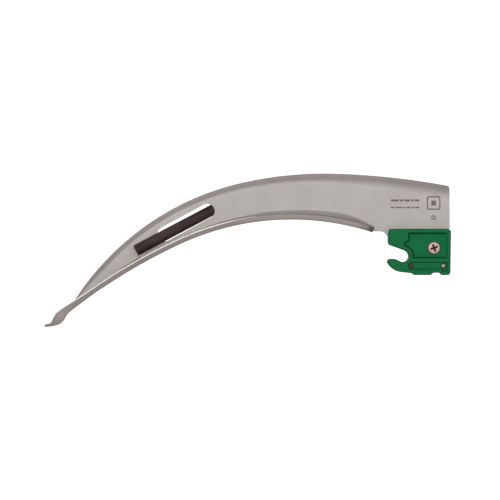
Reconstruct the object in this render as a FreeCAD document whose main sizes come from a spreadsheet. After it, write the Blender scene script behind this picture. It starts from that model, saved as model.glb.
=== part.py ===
import FreeCAD, Part
import math
import os
import re

import Sketcher
from FreeCAD import Placement, Rotation, Vector

# Hook-on curved laryngoscope blade with a fibre light guide.
# Origin: axis of the hook that hangs on the handle's cross pin, in the blade's middle plane.
# +X points back to the operator, -X to the tip, +Z to the convex side of the blade and +Y to
# the flange side. Millimetres and degrees throughout.

SHEET = "Dimensions"
DIMENSIONS = {
    # blade sheet: web, flange and spatula
    "web_thickness": 1.2,
    "spatula_thickness": 2.0,
    # convex edge of the web: start point, heading and three tangent arcs
    "top_x": -123.13,
    "top_z": -13.37,
    "top_heading": 55.2,
    "top_radius_tip": 102.3,
    "top_sweep_tip": 41.8,
    "top_radius_mid": 142.5,
    "top_sweep_mid": 15.1,
    "top_radius_rear": 278.3,
    "top_sweep_rear": 8.6,
    # underside of the spatula: start point, heading and two tangent arcs
    "low_x": -126.94,
    "low_z": -21.24,
    "low_heading": 38.2,
    "low_radius_tip": 212.2,
    "low_sweep_tip": 13.4,
    "low_radius_rear": 100.6,
    "low_sweep_rear": 42.8,
    # tip: leaf-shaped bead and the thin lip in front of it
    "bead_low_x": -131.2,
    "bead_low_z": -26.4,
    "bead_low_radius": 15.5,
    "lip_low_x": -133.4,
    "lip_low_z": -27.15,
    "lip_low_radius": 2.4,
    "lip_end_x": -136.4,
    "lip_front_x": -136.7,
    "lip_front_z": -26.8,
    "lip_high_x": -136.3,
    "lip_high_z": -26.15,
    "lip_root_x": -134.6,
    "lip_root_z": -25.5,
    "nose_x": -132.7,
    "nose_z": -22.3,
    "bead_high_x": -131.0,
    "bead_high_z": -20.8,
    "bead_high_radius": 3.0,
    "bead_back_x": -122.0,
    "bead_back_z": -14.9,
    "web_toe_x": -125.6,
    "web_toe_z": -17.6,
    # plan shape of the spatula and the flange
    "spatula_reach_rear": 7.5,
    "spatula_reach_tip": 14.0,
    "tip_corner": 6.3,
    "flange_reach": 11.0,
    "flange_rear_reach": 5.2,
    "flange_edge_radius": 391.0,
    "flange_tip_x": -124.0,
    # rear of the web and the tang inside the heel
    "web_rear_x": 18.1,
    "web_rear_top": 26.85,
    "neck_z": 9.4,
    "neck_x": -8.6,
    "neck_radius": 3.2,
    "tang_top_z": 10.2,
    "tang_rear_x": 16.9,
    "tang_bottom_z": -5.4,
    "tang_saddle": 3.4,
    "tang_lip_x": -4.3,
    "tang_lip_z": 5.4,
    "tang_saddle_high": 72.0,
    "tang_saddle_low": -88.0,
    "tang_gap": 0.08,
    "tang_notch_half": 2.4,
    "tang_notch_top": 8.1,
    # window that lets the light guide through the web
    "window_rear_x": -74.6,
    "window_rear_z": 17.2,
    "window_length": 18.6,
    "window_half": 2.8,
    "window_slope": 28.4,
    # heel halves
    "heel_half": 6.35,
    "heel_top_z": 10.33,
    "heel_front_x": -5.47,
    "heel_rear_x": 18.37,
    "heel_draft": 0.25,
    "heel_corner": 1.3,
    "foot_z": -7.27,
    "foot_front_x": 15.0,
    "foot_bevel": 0.7,
    "relief_z": -6.39,
    "port_rear_x": 10.7,
    "port_front_x": 4.4,
    "keel_x": 3.7,
    "keel_z": -6.6,
    "belly_x": -0.9,
    "belly_z": -6.1,
    "belly_radius": 7.4,
    "saddle_radius": 2.3,
    "saddle_high": 70.0,
    "saddle_mid": -25.0,
    "saddle_low": -120.0,
    "jaw_top_x": -4.5,
    "jaw_top_z": -1.05,
    "jaw_top_radius": 5.5,
    "jaw_nose_x": -5.62,
    "jaw_nose_z": -2.75,
    "jaw_nose_radius": 1.1,
    "lip_slope": 20.0,
    # side recesses of the heel
    "recess_depth": 1.3,
    "recess_top_z": 8.73,
    "recess_front_x": 2.26,
    "recess_step_z": 6.12,
    "recess_point_x": 0.27,
    "recess_point_z": 4.4,
    "recess_saddle": 3.95,
    "recess_saddle_high": 76.0,
    "recess_bottom_z": -0.65,
    "recess_rear_x": 16.65,
    "groove_depth": 0.6,
    "groove_top_z": -2.49,
    "groove_bottom_z": -4.9,
    "groove_front_x": 2.26,
    "groove_rear_x": 16.72,
    "groove_pit_x": 15.2,
    "groove_pit_z": -5.66,
    # fasteners
    "screw_x": 11.9,
    "screw_z": 3.1,
    "screw_radius": 1.25,
    "screw_hole": 1.35,
    "screw_head_radius": 2.4,
    "screw_head_height": 1.0,
    "screw_head_round": 0.4,
    "screw_end": 4.7,
    "cross_turn": 17.0,
    "cross_half_length": 1.45,
    "cross_half_width": 0.32,
    "cross_depth": 0.7,
    "nut_flat": 4.7,
    "nut_height": 2.0,
    "pin_radius": 0.9,
    "front_pin_x": 3.1,
    "front_pin_z": -3.7,
    "front_pin_half": 5.7,
    "rear_pin_x": 14.0,
    "rear_pin_z": 7.0,
    "rear_pin_half": 3.5,
    # spring-loaded detent balls
    "ball_x": 15.4,
    "ball_z": -3.7,
    "ball_radius": 1.2,
    "ball_y": 5.42,
    "ball_bore": 1.25,
    "ball_lip_radius": 1.185,
    "ball_lip_y": 5.68,
    "spring_wire": 0.13,
    "spring_coil": 0.85,
    "spring_start": 0.75,
    "spring_end": 4.38,
    "spring_turns": 7.0,
    # light guide
    "port_x": 7.4,
    "ferrule_radius": 2.2,
    "ferrule_top": -2.2,
    "ferrule_clearance": 8.0,
    "guide_radius": 2.1,
    "fibre_radius": 1.7,
    "guide_side": 2.75,
    "guide_shift_z": -2.0,
    "guide_clear_z": 7.5,
    "guide_turn_z": 11.5,
    "guide_high_z": 24.2,
    "guide_slope": 28.0,
    "guide_pass_x": -72.4,
    "guide_pass_z": 17.8,
    "guide_front_x": -93.4,
    "guide_end_x": -101.9,
    "channel_half": 2.3,
    "channel_depth": 4.95,
    "channel_bottom": -1.5,
    "seal_bottom": 9.0,
    "seal_top": 11.4,
    # straps that hold the light guide to the web
    "strap_thickness": 0.4,
    "strap_foot": 1.7,
    "strap_width": 4.0,
    "strap_rear_x": -14.0,
    "strap_front_x": -34.0,
}

document = FreeCAD.newDocument("LaryngoscopeBlade")
sheet = document.addObject("Spreadsheet::Sheet", SHEET)
for row, (alias, number) in enumerate(DIMENSIONS.items(), start=1):
    sheet.set(f"A{row}", alias)
    sheet.set(f"B{row}", str(number))
    sheet.setAlias(f"B{row}", alias)
document.recompute()

ALIASES = re.compile(r"\b(" + "|".join(DIMENSIONS) + r")\b")


def bound(formula):
    """The formula with every dimension's name pointing at its spreadsheet cell."""
    return ALIASES.sub(SHEET + r".\1", formula)


def value(formula):
    """The number that a formula of named dimensions gives now."""
    result = sheet.evalExpression(bound(formula))
    return float(getattr(result, "Value", result))


# ---------------------------------------------------------------- outlines and features

class Outline:
    """A closed outline of lines and arcs whose corners are formulas of named dimensions."""

    def __init__(self, across, up):
        self.corners = [(across, up)]
        self.edges = []

    def line(self, across, up):
        self.corners.append((across, up))
        self.edges.append(None)
        return self

    def arc(self, across, up, radius, turn):
        """Turn is 1 for an arc that bends to the left of its travel and -1 to the right."""
        self.corners.append((across, up))
        self.edges.append((radius, turn))
        return self

    def close(self):
        self.edges.append(None)
        return self

    def close_arc(self, radius, turn):
        self.edges.append((radius, turn))
        return self

    def circle(self, radius):
        self.edges = radius
        return self


def arc_geometry(start, end, radius, turn):
    """The shorter arc of this radius from start to end."""
    middle = (start + end) * 0.5
    half_chord = (end - start) * 0.5
    rise = math.sqrt(max(radius ** 2 - half_chord.Length ** 2, 0.0))
    side = Vector(-half_chord.y, half_chord.x, 0).normalize()
    centre = middle + side * rise * turn
    crown = centre - side * radius * turn
    return Part.Arc(start, crown, end)


def fix_point(sketch, geometry, place, formulas):
    """Tie one point of the sketch to its two formulas."""
    for kind, formula in zip(("DistanceX", "DistanceY"), formulas):
        constraint = Sketcher.Constraint(kind, -1, 1, geometry, place, value(formula))
        index = sketch.addConstraint(constraint)
        sketch.setExpression(f"Constraints[{index}]", bound(formula))


def fix_radius(sketch, geometry, formula):
    index = sketch.addConstraint(Sketcher.Constraint("Radius", geometry, value(formula)))
    sketch.setExpression(f"Constraints[{index}]", bound(formula))


def draw(sketch, outline):
    """Put one closed outline into the sketch, fully constrained by its formulas."""
    points = [Vector(value(a), value(u), 0) for a, u in outline.corners]
    if isinstance(outline.edges, str):
        circle = Part.Circle(points[0], Vector(0, 0, 1), value(outline.edges))
        index = sketch.addGeometry(circle, False)
        fix_point(sketch, index, 3, outline.corners[0])
        fix_radius(sketch, index, outline.edges)
        return
    first = sketch.GeometryCount
    count = len(points)
    for number, edge in enumerate(outline.edges):
        start, end = points[number], points[(number + 1) % count]
        if edge is None:
            sketch.addGeometry(Part.LineSegment(start, end), False)
        else:
            sketch.addGeometry(arc_geometry(start, end, value(edge[0]), edge[1]), False)
    heads = [head_of(sketch, first + number, points[number]) for number in range(count)]
    for number in range(count):
        following = (number + 1) % count
        tail = 3 - heads[number]
        sketch.addConstraint(Sketcher.Constraint(
            "Coincident", first + number, tail, first + following, heads[following]))
    for number, formulas in enumerate(outline.corners):
        fix_point(sketch, first + number, heads[number], formulas)
    for number, edge in enumerate(outline.edges):
        if edge is not None:
            fix_radius(sketch, first + number, edge[0])


def head_of(sketch, geometry, point):
    """1 or 2: which end of the geometry lies at the point. Sketch arcs run anticlockwise."""
    start = sketch.getPoint(geometry, 1)
    end = sketch.getPoint(geometry, 2)
    return 1 if (start - point).Length < (end - point).Length else 2


def new_body(name):
    body = document.addObject("PartDesign::Body", name)
    body.Label = name
    return body


def new_sketch(body, name, plane, offset, outlines):
    """A sketch on one of the body's origin planes, moved along the plane's normal."""
    sketch = body.newObject("Sketcher::SketchObject", name)
    origin_plane = [item for item in body.Origin.OriginFeatures if item.Role == plane][0]
    sketch.AttachmentSupport = [(origin_plane, "")]
    sketch.MapMode = "FlatFace"
    sketch.setExpression("AttachmentOffset.Base.z", bound(offset))
    for outline in outlines:
        draw(sketch, outline)
    document.recompute()
    return sketch


def feature(body, kind, name, plane, offset, depth, outlines, reverse=False):
    """A pad or pocket of the outlines, of the given depth, from the offset plane."""
    sketch = new_sketch(body, name + "_outline", plane, offset, outlines)
    item = body.newObject("PartDesign::" + kind, name)
    item.Profile = sketch
    item.Reversed = reverse
    item.setExpression("Length", bound(depth))
    before = body.Shape.Volume if body.Shape and not body.Shape.isNull() else 0.0
    document.recompute()
    change = body.Shape.Volume - before
    if (change > 0) != (kind == "Pad"):
        raise RuntimeError(f"{name} changed the volume by {change:.3f}")
    return item


def pad_across(body, name, far, depth, *outlines):
    """Material from Y = far towards -Y; the outlines lie in the X-Z plane."""
    return feature(body, "Pad", name, "XZ_Plane", f"-({far})", depth, outlines)


def cut_across(body, name, near, depth, *outlines):
    """A cut from Y = near towards +Y; the outlines lie in the X-Z plane."""
    return feature(body, "Pocket", name, "XZ_Plane", f"-({near})", depth, outlines)


def cut_back(body, name, far, depth, *outlines):
    """A cut from Y = far towards -Y; the outlines lie in the X-Z plane."""
    return feature(body, "Pocket", name, "XZ_Plane", f"-({far})", depth, outlines, True)


def cut_down(body, name, high, depth, *outlines):
    """A cut from Z = high downwards; the outlines lie in the X-Y plane."""
    return feature(body, "Pocket", name, "XY_Plane", high, depth, outlines)


def cut_up(body, name, low, depth, *outlines):
    """A cut from Z = low upwards; the outlines lie in the X-Y plane."""
    return feature(body, "Pocket", name, "XY_Plane", low, depth, outlines, True)


def round_edges(body, name, radius, wanted):
    """A fillet on each edge of the body that the test wants."""
    edges = [f"Edge{number}" for number, edge in enumerate(body.Shape.Edges, start=1)
             if wanted(edge)]
    if not edges:
        raise RuntimeError(f"{name} found no edge")
    base = body.Tip
    fillet = body.newObject("PartDesign::Fillet", name)
    fillet.Base = (base, edges)
    fillet.setExpression("Radius", bound(radius))
    document.recompute()
    if "Invalid" in fillet.State:
        raise RuntimeError(f"{name} failed on {len(edges)} edges")
    return fillet


def middle_of(edge):
    return edge.valueAt((edge.FirstParameter + edge.LastParameter) / 2)


def runs_across(edge):
    """True for a straight edge parallel to Y."""
    if edge.Curve.TypeId != "Part::GeomLine":
        return False
    return abs(abs(edge.tangentAt(edge.FirstParameter).y) - 1) < 1e-6


def across_at(*places):
    """A test for straight edges parallel to Y through the given X and Z formulas."""
    spots = [(value(x), value(z)) for x, z in places]

    def wanted(edge):
        point = middle_of(edge)
        near = [abs(point.x - x) + abs(point.z - z) < 0.02 for x, z in spots]
        return runs_across(edge) and any(near)
    return wanted


# ---------------------------------------------------------------- blade

def arc_point(x, z, heading, steps, inset):
    """Formulas for the end of a chain of tangent arcs that bend right, moved inwards."""
    across, up = x, z
    for radius, sweep in steps:
        after = f"{heading} - {sweep}"
        across = f"{across} + {radius} * (sin({heading}) - sin({after}))"
        up = f"{up} + {radius} * (cos({after}) - cos({heading}))"
        heading = after
    return f"{across} + ({inset}) * sin({heading})", f"{up} - ({inset}) * cos({heading})"


TOP_ARCS = [("top_radius_tip", "top_sweep_tip"), ("top_radius_mid", "top_sweep_mid"),
            ("top_radius_rear", "top_sweep_rear")]
LOW_ARCS = [("low_radius_tip", "low_sweep_tip"), ("low_radius_rear", "low_sweep_rear")]


def top_point(count, inset="0"):
    return arc_point("top_x", "top_z", "top_heading", TOP_ARCS[:count], inset)


def low_point(count, raised="0"):
    return arc_point("low_x", "low_z", "low_heading", LOW_ARCS[:count], f"-({raised})")


def round_spot(radius, angle):
    """A point on a circle about the hook's axis."""
    return f"{radius} * cos({angle})", f"{radius} * sin({angle})"


def web_outline():
    outline = Outline("web_toe_x", "web_toe_z").line("top_x", "top_z")
    for count, (radius, _) in enumerate(TOP_ARCS, start=1):
        outline.arc(*top_point(count), radius, -1)
    outline.line("web_rear_x", "web_rear_top")
    outline.line("web_rear_x", "heel_top_z").line("tang_rear_x", "tang_top_z")
    outline.line("tang_rear_x", "tang_bottom_z")
    outline.line(round_spot("tang_saddle", "tang_saddle_low")[0], "tang_bottom_z")
    outline.line(*round_spot("tang_saddle", "tang_saddle_low"))
    outline.arc(*round_spot("tang_saddle", "tang_saddle_high"), "tang_saddle", 1)
    outline.line("tang_lip_x", "tang_lip_z")
    outline.line("neck_x + neck_radius", "neck_z - neck_radius")
    outline.arc("neck_x", "neck_z", "neck_radius", 1)
    outline.line(*low_point(2, "spatula_thickness / 2"))
    outline.arc(*low_point(1, "spatula_thickness / 2"),
                "low_radius_rear + spatula_thickness / 2", 1)
    outline.arc(*TOE_INSIDE, "low_radius_tip + spatula_thickness / 2", 1)
    return outline.close()


TOE_INSIDE = ("web_toe_x + web_thickness * sin(top_heading)",
              "web_toe_z - web_thickness * cos(top_heading)")


def flange_outline():
    outline = Outline("web_toe_x", "web_toe_z").line(*top_point(0))
    for count, (radius, _) in enumerate(TOP_ARCS, start=1):
        outline.arc(*top_point(count), radius, -1)
    outline.line("web_rear_x", "web_rear_top")
    outline.line("web_rear_x", "web_rear_top - web_thickness")
    outline.line(*top_point(3, "web_thickness"))
    for count in (2, 1, 0):
        radius = TOP_ARCS[count][0] + " - web_thickness"
        outline.arc(*top_point(count, "web_thickness"), radius, 1)
    outline.line(*TOE_INSIDE)
    return outline.close()


def spatula_outline():
    """Side shape of the spatula, with the bead and the lip at its tip."""
    outline = Outline(*low_point(2))
    outline.arc(*low_point(1), "low_radius_rear", 1)
    outline.arc(*low_point(0), "low_radius_tip", 1)
    outline.arc("bead_low_x", "bead_low_z", "bead_low_radius", 1)
    outline.arc("lip_low_x", "lip_low_z", "lip_low_radius", -1)
    outline.line("lip_end_x", "lip_low_z")
    outline.line("lip_front_x", "lip_front_z")
    outline.line("lip_high_x", "lip_high_z")
    outline.line("lip_root_x", "lip_root_z")
    outline.line("nose_x", "nose_z")
    outline.arc("bead_high_x", "bead_high_z", "bead_high_radius", -1)
    outline.line("bead_back_x", "bead_back_z")
    outline.arc(*low_point(1, "spatula_thickness"),
                "low_radius_tip + spatula_thickness", -1)
    outline.arc(*low_point(2, "spatula_thickness"),
                "low_radius_rear + spatula_thickness", -1)
    return outline.close()


def window_outline():
    """The slanted obround window in the web."""
    rear = ("window_rear_x", "window_rear_z")
    front = ("window_rear_x - window_length * cos(window_slope)",
             "window_rear_z - window_length * sin(window_slope)")
    side = ("window_half * sin(window_slope)", "window_half * cos(window_slope)")
    end = ("window_half * cos(window_slope)", "window_half * sin(window_slope)")
    outline = Outline(f"{rear[0]} - {side[0]}", f"{rear[1]} + {side[1]}")
    outline.line(f"{front[0]} - {side[0]}", f"{front[1]} + {side[1]}")
    outline.arc(f"{front[0]} - {end[0]}", f"{front[1]} - {end[1]}", "window_half", 1)
    outline.arc(f"{front[0]} + {side[0]}", f"{front[1]} - {side[1]}", "window_half", 1)
    outline.line(f"{rear[0]} + {side[0]}", f"{rear[1]} - {side[1]}")
    outline.arc(f"{rear[0]} + {end[0]}", f"{rear[1]} + {end[1]}", "window_half", 1)
    return outline.close_arc("window_half", 1)


def box_outline(left, low, right, high):
    return Outline(left, low).line(right, low).line(right, high).line(left, high).close()


def flange_trim():
    """Everything beyond the bowed free edge of the flange, seen from above."""
    outline = Outline("flange_tip_x", "web_thickness / 2")
    outline.arc("web_rear_x", "flange_rear_reach", "flange_edge_radius", -1)
    outline.line("web_rear_x + flange_reach", "flange_rear_reach")
    outline.line("web_rear_x + flange_reach", "flange_reach * 2")
    outline.line("flange_tip_x - flange_reach", "flange_reach * 2")
    outline.line("flange_tip_x - flange_reach", "web_thickness / 2")
    return outline.close()


def spatula_side_trim():
    """Everything beyond the free edge of the spatula, seen from above."""
    beyond = "-(spatula_reach_tip * 2)"
    outline = Outline(low_point(2)[0] + " + spatula_reach_tip", beyond)
    outline.line(low_point(2)[0] + " + spatula_reach_tip", "-spatula_reach_rear")
    outline.line(low_point(2)[0], "-spatula_reach_rear")
    outline.line("lip_front_x + tip_corner", "-spatula_reach_tip")
    outline.arc("lip_front_x", "tip_corner - spatula_reach_tip", "tip_corner", -1)
    outline.line("lip_front_x - tip_corner", "tip_corner - spatula_reach_tip")
    outline.line("lip_front_x - tip_corner", beyond)
    return outline.close()


def spatula_tip_trim():
    """The corner beyond the rounded tip on the flange side, seen from above."""
    side = "web_thickness / 2"
    outline = Outline("lip_front_x + tip_corner", side)
    outline.line("lip_front_x + tip_corner", "tip_corner")
    outline.line("lip_front_x - tip_corner", "tip_corner")
    outline.line("lip_front_x - tip_corner", f"{side} - tip_corner")
    outline.line("lip_front_x", f"{side} - tip_corner")
    return outline.close_arc("tip_corner", -1)


def build_blade():
    body = new_body("blade")
    pad_across(body, "web", "web_thickness / 2", "web_thickness", web_outline())
    pad_across(body, "flange", "flange_reach", "flange_reach + web_thickness / 2",
               flange_outline())
    pad_across(body, "spatula", "web_thickness / 2", "spatula_reach_tip + web_thickness",
               spatula_outline())
    cut_across(body, "light_window", "-web_thickness", "web_thickness * 2", window_outline())
    high, deep = "flange_reach * 4", "flange_reach * 8"
    cut_down(body, "flange_edge", high, deep, flange_trim())
    cut_down(body, "spatula_edge", high, deep, spatula_side_trim())
    cut_down(body, "spatula_tip", high, deep, spatula_tip_trim())
    cut_across(body, "screw_hole", "-web_thickness", "web_thickness * 2",
               Outline("screw_x", "screw_z").circle("screw_hole"),
               Outline("front_pin_x", "front_pin_z").circle("pin_radius"),
               Outline("rear_pin_x", "rear_pin_z").circle("pin_radius"))
    cut_across(body, "light_guide_notch", "-web_thickness", "web_thickness * 2",
               box_outline("port_x - tang_notch_half", "tang_bottom_z - 1",
                           "port_x + tang_notch_half", "tang_notch_top"))
    return body


# ---------------------------------------------------------------- heel

def heel_outline():
    """Side shape of the heel: hook and jaw in front, light port and foot below."""
    outline = Outline("heel_front_x", "heel_top_z").line("heel_rear_x", "heel_top_z")
    outline.line("heel_rear_x - heel_draft", "foot_z").line("foot_front_x", "foot_z")
    outline.line("foot_front_x - foot_bevel", "relief_z")
    outline.line("port_rear_x + foot_bevel", "relief_z").line("port_rear_x", "foot_z")
    outline.line("port_front_x", "foot_z").line("keel_x", "keel_z").line("belly_x", "belly_z")
    outline.arc("jaw_nose_x", "jaw_nose_z", "belly_radius", -1)
    outline.arc("jaw_top_x", "jaw_top_z", "jaw_nose_radius", -1)
    outline.arc(*round_spot("saddle_radius", "saddle_low"), "jaw_top_radius", -1)
    outline.arc(*round_spot("saddle_radius", "saddle_mid"), "saddle_radius", 1)
    outline.arc(*round_spot("saddle_radius", "saddle_high"), "saddle_radius", 1)
    outline.line("heel_front_x", MOUTH_Z)
    return outline.close()


MOUTH_Z = ("saddle_radius * sin(saddle_high)"
           " + (saddle_radius * cos(saddle_high) - heel_front_x) * tan(lip_slope)")


def recess_outline():
    """Large side recess that holds the screw head."""
    outline = Outline("recess_front_x", "recess_top_z").line("recess_rear_x", "recess_top_z")
    outline.line("recess_rear_x", "recess_bottom_z")
    outline.line(f"recess_saddle * cos({RECESS_LOW})", "recess_bottom_z")
    outline.arc(*round_spot("recess_saddle", "recess_saddle_high"), "recess_saddle", 1)
    outline.line("recess_point_x", "recess_point_z")
    outline.line("recess_front_x", "recess_step_z")
    return outline.close()


RECESS_LOW = "asin(recess_bottom_z / recess_saddle)"


def groove_outline():
    """Side groove with a round front end and a deeper pit behind the detent ball."""
    half = "(groove_top_z - groove_bottom_z) / 2"
    outline = Outline(f"groove_front_x + {half}", "groove_top_z")
    outline.line("groove_rear_x", "groove_top_z").line("groove_rear_x", "groove_pit_z")
    outline.line("groove_pit_x", "groove_pit_z").line("groove_pit_x", "groove_bottom_z")
    outline.line(f"groove_front_x + {half}", "groove_bottom_z")
    outline.arc("groove_front_x", f"groove_bottom_z + {half}", half, -1)
    return outline.close_arc(half, -1)


def tang_slot_outline():
    """The space for the tang, open above and in front where the web leaves the heel."""
    front = "heel_front_x - tang_gap * 10"
    outline = Outline(front, "heel_top_z + tang_gap")
    outline.line("web_rear_x + tang_gap", "heel_top_z + tang_gap")
    outline.line("web_rear_x + tang_gap", "heel_top_z - tang_gap")
    outline.line("tang_rear_x + tang_gap", "tang_top_z - tang_gap")
    outline.line("tang_rear_x + tang_gap", "tang_bottom_z - tang_gap")
    outline.line(SLOT_LOW[0], "tang_bottom_z - tang_gap")
    outline.line(*SLOT_LOW)
    outline.arc(*round_spot("(tang_saddle - tang_gap)", "tang_saddle_high"),
                "tang_saddle - tang_gap", 1)
    outline.line("tang_lip_x - tang_gap", "tang_lip_z - tang_gap")
    outline.line(front, "neck_z - neck_radius - tang_gap")
    return outline.close()


SLOT_LOW = round_spot("(tang_saddle - tang_gap)", "tang_saddle_low")


def build_heel_half(name, side):
    """One moulded half of the heel. Side is -1 for the near half and 1 for the flange half."""
    body = new_body(name)
    outer = "heel_half"
    near = side < 0
    pad_across(body, name + "_block", "0" if near else outer, outer, heel_outline())
    corners = across_at(("heel_front_x", "heel_top_z"), ("heel_rear_x", "heel_top_z"),
                        ("heel_rear_x - heel_draft", "foot_z"), ("heel_front_x", MOUTH_Z))
    round_edges(body, name + "_corners", "heel_corner", corners)

    def side_cut(title, depth, *outlines):
        if near:
            return cut_across(body, title, f"-({outer})", depth, *outlines)
        return cut_back(body, title, outer, depth, *outlines)

    def inner_cut(title, depth, *outlines):
        if near:
            return cut_back(body, title, "0", depth, *outlines)
        return cut_across(body, title, "0", depth, *outlines)

    side_cut(name + "_recess", "recess_depth", recess_outline())
    inner_cut(name + "_tang_slot", "web_thickness / 2", tang_slot_outline())
    side_cut(name + "_groove", "groove_depth", groove_outline())
    inner_cut(name + "_ball_bore", "ball_lip_y",
              Outline("ball_x", "ball_z").circle("ball_bore"))
    inner_cut(name + "_ball_mouth", outer,
              Outline("ball_x", "ball_z").circle("ball_lip_radius"))
    inner_cut(name + "_front_pin_hole", outer,
              Outline("front_pin_x", "front_pin_z").circle("pin_radius"))
    inner_cut(name + "_rear_pin_hole", "rear_pin_half",
              Outline("rear_pin_x", "rear_pin_z").circle("pin_radius"))
    inner_cut(name + "_screw_hole", outer,
              Outline("screw_x", "screw_z").circle("screw_radius"))
    if not near:
        side_cut(name + "_nut_pocket", "recess_depth + nut_height", nut_outline())
        inner_cut(name + "_channel", "channel_depth",
                  box_outline("port_x - channel_half", "channel_bottom",
                              "port_x + channel_half", "heel_top_z + 1"))
    cut_up(body, name + "_port", "foot_z", "ferrule_top - foot_z + ferrule_clearance",
           Outline("port_x", "0").circle("ferrule_radius"))
    return body


# ---------------------------------------------------------------- fasteners

def nut_outline():
    """Hexagon with two flats parallel to X."""
    reach = "nut_flat / (2 * cos(30))"
    corners = [(f"screw_x + {reach} * cos({turn})", f"screw_z + {reach} * sin({turn})")
               for turn in (180, 120, 60, 0, 300, 240)]
    outline = Outline(*corners[0])
    for corner in corners[1:]:
        outline.line(*corner)
    return outline.close()


def build_nut():
    body = new_body("heel_nut")
    far = "heel_half - recess_depth"
    pad_across(body, "nut_block", far, "nut_height", nut_outline())
    cut_back(body, "nut_thread", far, "nut_height * 2",
             Outline("screw_x", "screw_z").circle("screw_radius"))
    return body


def cross_outline(turn):
    """One bar of the cross recess, turned about the screw's axis."""
    corners = []
    for along_sign, side_sign in ((-1, 1), (1, 1), (1, -1), (-1, -1)):
        along_bar = f"({along_sign}) * cross_half_length"
        across_bar = f"({side_sign}) * cross_half_width"
        corners.append((f"screw_x + {along_bar} * cos({turn}) - {across_bar} * sin({turn})",
                        f"screw_z + {along_bar} * sin({turn}) + {across_bar} * cos({turn})"))
    outline = Outline(*corners[0])
    for corner in corners[1:]:
        outline.line(*corner)
    return outline.close()


def build_screw():
    body = new_body("heel_screw")
    seat = "-(heel_half - recess_depth)"
    pad_across(body, "screw_head", seat, "screw_head_height",
               Outline("screw_x", "screw_z").circle("screw_head_radius"))
    pad_across(body, "screw_shank", "screw_end", "screw_end + heel_half - recess_depth",
               Outline("screw_x", "screw_z").circle("screw_radius"))
    top = f"{seat} - screw_head_height"
    round_edges(body, "screw_head_round", "screw_head_round", head_rim(top))
    cut_across(body, "cross_long", top, "cross_depth", cross_outline("cross_turn"))
    cut_across(body, "cross_short", top, "cross_depth", cross_outline("cross_turn + 90"))
    return body


def head_rim(level):
    height = value(level)

    def wanted(edge):
        return abs(middle_of(edge).y - height) < 1e-3
    return wanted


def build_pin(name, x, z, half):
    """A dowel pin across the heel."""
    pin = document.addObject("Part::Cylinder", name)
    pin.Label = name
    pin.setExpression("Radius", bound("pin_radius"))
    pin.setExpression("Height", bound(f"2 * {half}"))
    pin.Placement = Placement(Vector(0, 0, 0), Rotation(Vector(1, 0, 0), 90))
    pin.setExpression("Placement.Base.x", bound(x))
    pin.setExpression("Placement.Base.y", bound(half))
    pin.setExpression("Placement.Base.z", bound(z))
    return pin


# ---------------------------------------------------------------- detents

def build_ball(name, side):
    ball = document.addObject("Part::Sphere", name)
    ball.Label = name
    ball.setExpression("Radius", bound("ball_radius"))
    ball.setExpression("Placement.Base.x", bound("ball_x"))
    ball.setExpression("Placement.Base.y", bound(f"({side}) * ball_y"))
    ball.setExpression("Placement.Base.z", bound("ball_z"))
    return ball


def build_spring(name, side):
    """Helical spring from the tang to the back of the ball, wound along Y."""
    path = document.addObject("Part::Helix", name + "_path")
    path.setExpression("Pitch", bound("(spring_end - spring_start) / spring_turns"))
    path.setExpression("Height", bound("spring_end - spring_start"))
    path.setExpression("Radius", bound("spring_coil"))
    wire = document.addObject("Part::Circle", name + "_wire")
    wire.setExpression("Radius", bound("spring_wire"))
    wire.Placement = Placement(Vector(0, 0, 0), Rotation(Vector(1, 0, 0), 90))
    wire.setExpression("Placement.Base.x", bound("spring_coil"))
    spring = document.addObject("Part::Sweep", name)
    spring.Label = name
    spring.Sections = [wire]
    spring.Spine = (path, ["Edge1"])
    spring.Solid = True
    spring.Frenet = True
    spring.Placement = Placement(Vector(0, 0, 0), Rotation(Vector(1, 0, 0), -90 * side))
    spring.setExpression("Placement.Base.x", bound("ball_x"))
    spring.setExpression("Placement.Base.y", bound(f"({side}) * spring_start"))
    spring.setExpression("Placement.Base.z", bound("ball_z"))
    return spring


# ---------------------------------------------------------------- light guide

def s_bend(start, end, lean):
    """Two equal arcs that shift a run sideways between parallel headings."""
    middle = (start + end) * 0.5
    offset = end - start
    ahead = offset - lean * offset.dot(lean)
    side = lean * offset.dot(lean)
    length, shift = ahead.Length, side.Length
    radius = (length ** 2 + shift ** 2) / (4 * shift)
    quarter = math.asin(length / 2 / radius) / 2
    forward, across = ahead.normalize(), side.normalize()
    first = start + forward * radius * math.sin(quarter) \
        + across * radius * (1 - math.cos(quarter))
    last = end - forward * radius * math.sin(quarter) \
        - across * radius * (1 - math.cos(quarter))
    return [Part.Arc(start, first, middle), Part.Arc(middle, last, end)]


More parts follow.
